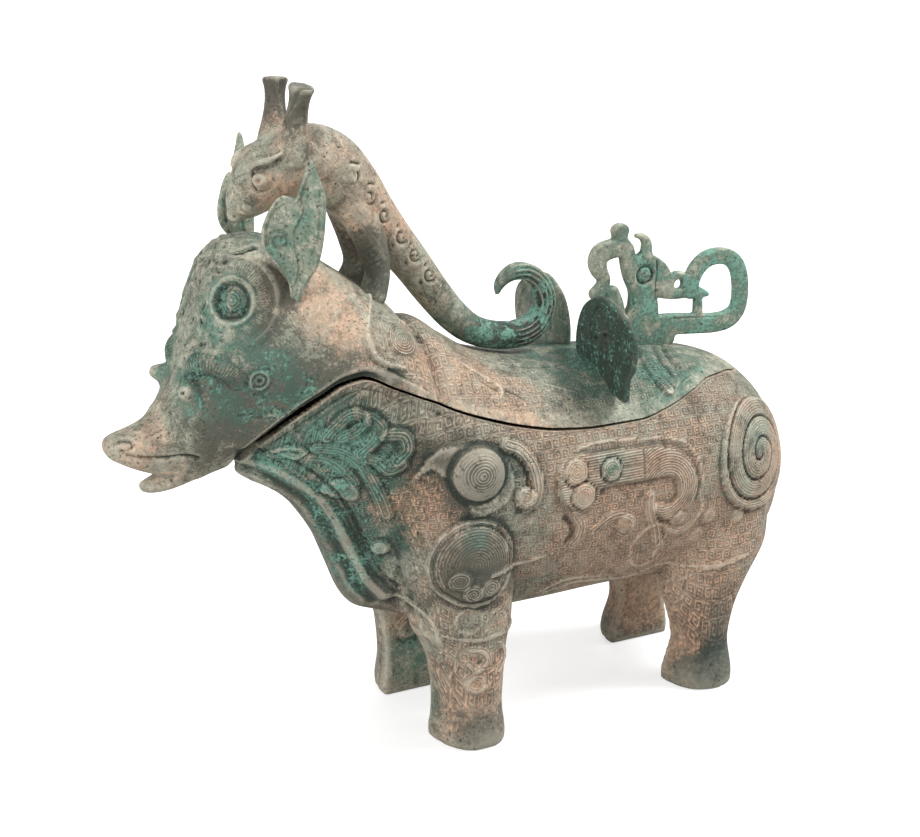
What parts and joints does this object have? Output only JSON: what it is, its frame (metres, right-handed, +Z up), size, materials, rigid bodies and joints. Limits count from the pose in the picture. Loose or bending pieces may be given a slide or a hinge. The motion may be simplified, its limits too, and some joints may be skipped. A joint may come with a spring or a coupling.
{
  "type": "animal-shaped zun vessel",
  "caption": "Cast bronze wine vessel shaped as a hoofed, long-snouted beast; its head and back lift off as a lid bearing a horned dragon and an openwork trunk handle.",
  "frame": {"origin": "on the ground, under the middle of the overall length and width", "axes": "+X towards the rump (the snout points to -X), +Y towards the beast's right side, +Z up"},
  "size_m": [0.325, 0.106, 0.2891],
  "materials": {
    "vessel_bronze": "bronze under a matt grey-green patina with verdigris and salmon-brown earth in the relief",
    "lid_bronze": "bronze under a matt grey-green patina, greener on the dragon's tail and the openwork handle"
  },
  "bodies": {
    "root": {"vessel": "vessel_bronze", "lid": "lid_bronze"}
  },
  "joints": []
}
